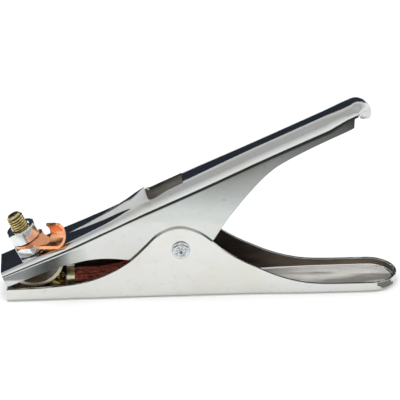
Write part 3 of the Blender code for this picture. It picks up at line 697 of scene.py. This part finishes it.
def bolt():
    """Hexagon head inside the lever, plain shank, helical thread with painted shade in its roots, and a
    chamfered end with a dimple.
    """
    def head(a):
        return hexagon(HEAD_FLATS, a)

    rows = [(HEAD_LOW, lambda a: HEAD_FACE_R), (HEAD_LOW + 0.7, head), (HEAD_TOP, head),
            (HEAD_TOP + 0.02, lambda a: THREAD_R), (THREAD_LOW - 0.1, lambda a: THREAD_R)]
    end = BOLT_TOP - 0.6
    steps = int((end - THREAD_LOW) / THREAD_PITCH * ROWS_PER_TURN)
    for i in range(steps + 1):
        z = THREAD_LOW + (end - THREAD_LOW) * i / steps
        rows.append((z, thread_radius(z, THREAD_LOW, end)))
    rows += [(BOLT_TOP - 0.15, lambda a: 3.75), (BOLT_TOP, lambda a: 3.45), (BOLT_TOP - 0.25, lambda a: 2.6),
             (BOLT_TOP - 0.3, lambda a: 0.6)]
    bm = loft(polar_rings(rows, 72))
    for f in bm.faces:
        # Faces deep in the thread take the dark material: painted shade.
        middle = f.calc_center_median()
        shaded_groove = THREAD_LOW < middle.z < end and math.hypot(middle.x, middle.y) < THREAD_SHADE_R
        f.material_index = 1 if shaded_groove else 0
    obj = new_piece("bolt_thread", bm, YELLOW_ZINC, "upper", ["terminal_bolt"], sharp=28,
                    turn=BOLT)
    obj.data.materials.append(THREAD_ROOT_SHADE)


bolt()

# ---------------------------------------------------------------- cable lug

LUG_Z, LUG_SHEET, LUG_TURN = 38.45, 1.7, math.radians(-41)
LUG_EYE_R, LUG_NECK_HALF, LUG_DROP, BARREL_R, LUG_END = 8.5, 5.2, 4.4, 7.7, 26.2
LUG_STEP, LUG_COLUMNS, LUG_BEVEL, EYE_GAP = 0.4, 49, 0.28, 0.4


def lug_station(u):
    """Drop, curvature and side reaches of the lug strip at distance u from the bolt."""
    drop = -LUG_DROP * ease(u, 7.5, 16.0)
    bend = ease(u, 11.0, 16.0) / BARREL_R
    eye = LUG_EYE_R * math.sqrt(max(0.0, 1.0 - (min(u, 0.0) / LUG_EYE_R) ** 2))
    strip = eye + (LUG_NECK_HALF - LUG_EYE_R) * ease(u, 5.0, 10.5)
    far = strip + 12.0 * ease(u, 14.0, 16.0) - 1.6 * ease(u, 24.6, 26.4)
    near = strip + 0.6 * ease(u, 14.0, 16.0)
    return drop, bend, near, far


def lug_point(u, q, rise):
    """A point of the strip at q across and rise above its underside, curled up where the strip bends."""
    drop, bend, _, _ = lug_station(u)
    if bend < 1e-4:
        return Vector((u, q, drop + rise))
    radius = 1.0 / bend
    a = q * bend
    return Vector((u, (radius - rise) * math.sin(a), drop + radius - (radius - rise) * math.cos(a)))


def lug():
    us = [-8.45, -8.3, -8.0, -7.5] + list(np.arange(-7.0, LUG_END - 0.2, LUG_STEP)) + [LUG_END]
    rings = []
    for u in us:
        _, _, near, far = lug_station(u)
        reach = np.linspace(-near, far, LUG_COLUMNS)
        rings.append([lug_point(u, q, 0.0) for q in reach]
                     + [lug_point(u, q, LUG_SHEET) for q in reversed(reach)])
    seat = BOLT @ Matrix.Translation((0, 0, LUG_Z)) @ Matrix.Rotation(LUG_TURN, 4, "Z")
    obj = new_piece("lug_strip", loft(rings), COPPER, None, turn=seat, bevel=LUG_BEVEL)
    cut(obj, moved(rod(THREAD_R + EYE_GAP, -2, 4), seat), "eye")
    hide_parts("cable_lug")
    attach(obj, "lug")


lug()

# ---------------------------------------------------------------- braid and spring

BRAID_WIDE, BRAID_THICK, STRAND_R, CORE_DEPTH = 6.2, 3.8, 0.30, 0.75
TIP = Vector((JAW_X, 0, 0))


def braid_path():
    """The bundle's path, from the lower tag back towards the pivot and round to the upper tag."""
    end = LEVER @ Vector((-60.8, 0, 22.8)) - TIP
    before = LEVER @ Vector((-56.0, 0, 22.8)) - TIP
    pts = [(35.6, 0, 9.2), (41, 0, 9.2), (48, 0, 9.3), (57, 0, 9.9), (66, 0, 11.9), (74, 0, 14.8),
           (80.5, 0, 18.0), (83.8, 0, 22.6), (80.5, 0, 27.0), (73, 0, 27.6), (65, 0, 26.2), (57, 0, 26.4),
           (50, 0, 29.0), before + Vector((4.2, 0, 1.7)), before, end]
    return [p + TIP for p in curve_through(pts, 8)]


def carried_frames(path):
    """(point, side, up) along the path, without twist."""
    frames = []
    side = Vector((0, 1, 0))
    for i, p in enumerate(path):
        d = (path[min(i + 1, len(path) - 1)] - path[max(i - 1, 0)]).normalized()
        side = (side - d * side.dot(d)).normalized()
        frames.append((p, side, d.cross(side)))
    return frames


def strands(count, layer, seed, lay):
    """One layer of wires that lie round the bundle with a slow twist, each a little wavy."""
    rng = random.Random(seed)
    frames = carried_frames(braid_path())
    last = len(frames) - 1
    bm = bmesh.new()
    for k in range(count):
        phase, wave, size = rng.uniform(0, 6.28), rng.uniform(0.04, 0.16), rng.uniform(0.8, 1.2)
        path = []
        for i, (p, side, up) in enumerate(frames):
            t = i / last
            a = 2 * math.pi * (k + rng.uniform(-0.04, 0.04)) / count + lay * t
            a += wave * math.sin(9 * math.pi * t + phase)
            bulge = 1.0 + 0.02 * math.sin(13 * math.pi * t + 2 * phase)
            reach = (layer * bulge) if 0.04 < t < 0.96 else layer * 0.97
            path.append(p + side * ((BRAID_WIDE - STRAND_R) * reach * math.cos(a))
                        + up * ((BRAID_THICK - STRAND_R) * reach * math.sin(a)))
        wire = tube(path, STRAND_R * size, 6)
        part = bpy.data.meshes.new("wire")
        wire.to_mesh(part)
        wire.free()
        bm.from_mesh(part)
        bpy.data.meshes.remove(part)
    return bm


def blend_piece(obj, node):
    """A piece that lies between the two levers: hides its CAD node and bakes its placement into its mesh."""
    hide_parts(node)
    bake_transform(obj)


def braid():
    """Two layers of wires with opposite lays over a near-black core, painted shade between the wires."""
    thick, wide = BRAID_THICK - CORE_DEPTH, BRAID_WIDE - CORE_DEPTH
    layers = (("braid_wires", strands(52, 0.97, 7, 2.2), BRAID),
              ("braid_under_wires", strands(40, 0.84, 11, -2.6), BRAID),
              ("braid_core", tube(braid_path(), thick, 20, wide / thick), BRAID_SHADE_CORE))
    for name, bm, mat in layers:
        obj = new_piece(name, bm, mat, None, sharp=80)
        blend_piece(obj, "copper_braid")


braid()

WIRE_R, COIL_R, COIL_TURNS, COIL_HALF, LEG_STEPS, BEND_HALF = 1.5, 9.2, 5, 8.3, 12, 0.007


def spring():
    """Wire coil about the pivot with one leg on the lower web and one under the upper crown."""
    start = math.radians(-72)
    total = 2 * math.pi * COIL_TURNS - start + math.radians(90) + LEVER_TILT
    count = 40 * COIL_TURNS
    coil = []
    for k in range(count + 1):
        a = start - total * k / count
        coil.append(PIVOT + Vector((COIL_R * math.cos(a), -COIL_HALF + 2 * COIL_HALF * k / count,
                                    COIL_R * math.sin(a))))
    foot = TIP + Vector((158.0, -COIL_HALF, 3.55))
    tip = LEVER @ Vector((56.0, COIL_HALF, 29.3))
    path = [foot.lerp(coil[0], k / LEG_STEPS) for k in range(LEG_STEPS)] + coil
    path += [coil[-1].lerp(tip, k / LEG_STEPS) for k in range(1, LEG_STEPS + 1)]
    obj = new_piece("spring_wire", tube(path, WIRE_R, 16), SPRING, None, sharp=60)
    blend_piece(obj, "torsion_spring")


spring()

# ---------------------------------------------------------------- pivot rivet

WALL_OUT = 15.0
RIVET_HEAD = (
    (4.1, 0.1), (5.15, 0.12), (5.28, 0.3), (5.3, 0.6), (5.22, 0.9), (5.0, 1.15), (4.7, 1.35), (4.3, 1.52),
    (3.9, 1.62), (3.5, 1.65), (3.2, 1.6), (2.95, 1.42), (2.75, 1.2), (2.5, 1.05), (2.2, 0.95), (1.8, 0.85),
    (1.3, 0.72), (0.8, 0.6), (0.35, 0.5),
)
STAR_POINTS = 6


def rivet():
    """Swaged heads with a raised ring, and a star-shaped tool mark inside it."""
    def ring(r, z, side):
        turn = [2 * math.pi * k / 96 for k in range(96)]
        mark = 0.42 * ease(3.0 - r, 0.0, 1.2) * ease(r, 0.2, 0.9)
        return [Vector((r * math.cos(a), r * math.sin(a),
                        side * (WALL_OUT + z - mark * max(0.0, math.cos(STAR_POINTS * a + 0.4)) ** 2)))
                for a in turn]

    rings = [ring(r, z, 1) for r, z in reversed(RIVET_HEAD)] + [ring(r, z, -1) for r, z in RIVET_HEAD]
    turn = Matrix.Translation(PIVOT) @ Matrix.Rotation(math.radians(-90), 4, "X")
    new_piece("rivet_heads", loft(rings), RIVET, "lower", ["pivot_rivet"], sharp=50, turn=turn)


rivet()

# ---------------------------------------------------------------- CAD nodes that stay


def keep(node, mat, angle=32):
    """A CAD node that stays, with smooth shading by angle and a finished material."""
    obj = frame["nodes"][node]
    weld = obj.modifiers.new("weld", "WELD")
    weld.merge_threshold = 0.00001
    for p in obj.data.polygons:
        p.use_smooth = True
    split = obj.modifiers.new("split", "EDGE_SPLIT")
    split.split_angle = math.radians(angle)
    obj.data.materials.clear()
    obj.data.materials.append(mat)


for kept, kept_mat in {
    "pivot_bush": BUSH, "upper_contact": CONTACT_BRASS_SHADED, "lower_contact": CONTACT_BRASS_SHADED, "lower_braid_tag": TAG,
    "upper_braid_tag": TAG, "lower_contact_screw": YELLOW_ZINC, "lower_contact_nut": YELLOW_ZINC,
}.items():
    keep(kept, kept_mat)

# ---------------------------------------------------------------- camera

VIEW_AZIMUTH = math.radians(-3.6)
VIEW_ELEVATION = math.radians(26.5)
CAMERA_DISTANCE = 1.3
VIEW_WIDTH = 0.2312
SENSOR = 36
AIM = Vector((-0.0002, 0.0, 0.0556))


def camera():
    back = Vector((math.sin(VIEW_AZIMUTH) * math.cos(VIEW_ELEVATION),
                   -math.cos(VIEW_AZIMUTH) * math.cos(VIEW_ELEVATION), math.sin(VIEW_ELEVATION)))
    data = bpy.data.cameras.new("camera")
    cam = bpy.data.objects.new("camera", data)
    bpy.context.scene.collection.objects.link(cam)
    data.sensor_width = SENSOR
    data.lens = SENSOR * CAMERA_DISTANCE / VIEW_WIDTH
    cam.location = AIM + back * CAMERA_DISTANCE
    cam.rotation_mode = "QUATERNION"
    cam.rotation_quaternion = (-back).to_track_quat("-Z", "Y")
    bpy.context.scene.camera = cam


camera()

# ---------------------------------------------------------------- stage


def emitter(name, color):
    """A plain glowing material."""
    m = bpy.data.materials.new(name)
    m.use_nodes = True
    t = m.node_tree
    t.nodes.clear()
    e = t.nodes.new("ShaderNodeEmission")
    e.inputs["Color"].default_value = (*color, 1)
    e.inputs["Strength"].default_value = 1.0
    o = t.nodes.new("ShaderNodeOutputMaterial")
    t.links.new(e.outputs["Emission"], o.inputs["Surface"])
    return m


# Painted shade: radiance of glowing floor cards seen only in reflections, darker away in front and in a band
# by the jaw.
FLOOR_SHADE_GRADE = ((-0.30, 0.05), (-0.255, 0.07), (-0.215, 0.235), (-0.185, 0.34), (-0.145, 0.74),
               (-0.12, 1.08), (-0.10, 1.16))
JAW_SHADE_GRADE = ((-0.115, 0.45), (-0.105, 0.42), (-0.095, 0.19), (-0.09, 0.12), (-0.084, 0.17), (-0.078, 0.46),
             (-0.074, 0.84), (-0.06, 1.14))


def graded_emitter(name, axis, grade):
    """Emission that changes along one object axis, from (position, radiance) rows."""
    m = emitter(name, (1, 1, 1))
    t = m.node_tree
    coord = t.nodes.new("ShaderNodeTexCoord")
    split = t.nodes.new("ShaderNodeSeparateXYZ")
    place = t.nodes.new("ShaderNodeMapRange")
    curve = t.nodes.new("ShaderNodeValToRGB")
    low, high = grade[0][0], grade[-1][0]
    place.inputs["From Min"].default_value = low
    place.inputs["From Max"].default_value = high
    stops = curve.color_ramp.elements
    rows = [((x - low) / (high - low), (0.97 * v, 1.01 * v, v, 1)) for x, v in grade]
    stops[0].position, stops[0].color = rows[0]
    stops[1].position, stops[1].color = rows[-1]
    for x, color in rows[1:-1]:
        stops.new(x).color = color
    t.links.new(coord.outputs["Object"], split.inputs["Vector"])
    t.links.new(split.outputs[axis], place.inputs["Value"])
    t.links.new(place.outputs["Result"], curve.inputs["Fac"])
    t.links.new(curve.outputs["Color"], t.nodes["Emission"].inputs["Color"])
    return m


def card(name, size, place, mat):
    """A flat studio card that lies level and shows in reflections only."""
    bpy.ops.mesh.primitive_plane_add(size=1)
    obj = bpy.context.object
    obj.name = name
    obj.data.transform(Matrix.Diagonal((size[0], size[1], 1, 1)))
    obj.location = place
    obj.data.materials.append(mat)
    obj.visible_camera = False
    obj.visible_diffuse = False
    obj.visible_shadow = False
    return obj


def standing_card(name, size, place, aim, mat):
    """The same, turned to face a point."""
    obj = card(name, size, place, mat)
    obj.rotation_mode = "QUATERNION"
    obj.rotation_quaternion = (Vector(aim) - Vector(place)).to_track_quat("Z", "Y")


def floor_card(name, low, high, height, mat):
    """A card over the floor between two corners, with its object axes at the world's origin."""
    size = (high[0] - low[0], high[1] - low[1])
    obj = card(name, size, (0, 0, height), mat)
    obj.data.transform(Matrix.Translation(((low[0] + high[0]) / 2, (low[1] + high[1]) / 2, 0)))


def area(name, size, place, aim, energy):
    """A soft box that lights the scene and isn't mirrored in it."""
    data = bpy.data.lights.new(name, "AREA")
    data.shape = "RECTANGLE"
    data.size, data.size_y = size
    data.energy = energy
    obj = bpy.data.objects.new(name, data)
    obj.location = place
    obj.rotation_mode = "QUATERNION"
    obj.rotation_quaternion = (Vector(aim) - Vector(place)).to_track_quat("-Z", "Y")
    obj.visible_glossy = False
    bpy.context.scene.collection.objects.link(obj)


SKY = ((0.0, 1.30), (0.40, 1.25), (0.72, 0.88), (0.82, 0.60), (1.0, 0.72))


def sky():
    """Soft light all round, by the sine of the elevation: bright low down and dimmer high up."""
    world = bpy.data.worlds.new("studio")
    bpy.context.scene.world = world
    world.use_nodes = True
    tree = world.node_tree
    back = tree.nodes["Background"]
    back.inputs["Strength"].default_value = 1.0
    coord = tree.nodes.new("ShaderNodeTexCoord")
    split = tree.nodes.new("ShaderNodeSeparateXYZ")
    ramp = tree.nodes.new("ShaderNodeValToRGB")
    stops = ramp.color_ramp.elements
    for stop, (sine, value) in zip((stops[0], stops[1]), (SKY[0], SKY[-1])):
        stop.position, stop.color = sine, (0.98 * value, 0.99 * value, value, 1)
    for sine, value in SKY[1:-1]:
        stops.new(sine).color = (0.98 * value, 0.99 * value, value, 1)
    tree.links.new(coord.outputs["Generated"], split.inputs["Vector"])
    tree.links.new(split.outputs["Z"], ramp.inputs["Fac"])
    tree.links.new(ramp.outputs["Color"], back.inputs["Color"])


def stage():
    """Pale floor, soft light, dark cards where the polished plate mirrors a studio's dark side, and glowing
    floor cards that paint shade into the floor's reflection.
    """
    bpy.ops.mesh.primitive_plane_add(size=4)
    floor = bpy.context.object
    floor.name = "floor"
    paper = Nodes("pale_floor", (0.93, 0.93, 0.92), 0.8, 0.0)
    paper.color(paper.mix(paper.noise(6, 3), (0.925, 0.925, 0.92), (0.935, 0.935, 0.93)))
    floor.data.materials.append(paper.mat)
    centre = (0, 0, 0.05)
    dark = emitter("dark_card", (0.026, 0.034, 0.048))
    line = emitter("horizon_card", (0.03, 0.037, 0.04))
    shade = emitter("end_shade", (0.24, 0.25, 0.24))
    standing_card("back_card", (3.4, 0.86), (-0.4, 1.0, 0.53), centre, dark)
    standing_card("front_card", (3.4, 0.42), (0.0, -0.9, 0.0), (0, 0, 0), line)
    # Glowing floor cards, unseen by the camera: painted shade on the mirrored floor in front, by the jaw and
    # by the bow's end.
    front = graded_emitter("front_floor", "Y", FLOOR_SHADE_GRADE)
    jaw = graded_emitter("jaw_shade", "X", JAW_SHADE_GRADE)
    floor_card("front_floor_painted_shade_card", (-1.5, -0.885), (1.5, -0.1), 0.004, front)
    floor_card("jaw_painted_shadow_card", (-0.145, -0.085), (-0.06, -0.034), 0.003, jaw)
    floor_card("end_painted_shadow_card", (0.106, -0.039), (0.130, -0.009), 0.002, shade)
    sky()
    area("front_box", (1.2, 0.5), (-0.15, -1.2, 0.75), centre, 4)
    area("top_box", (1.0, 0.7), (-0.25, -0.1, 1.3), centre, 7.5)
    bpy.context.scene.view_settings.view_transform = "Standard"


stage()
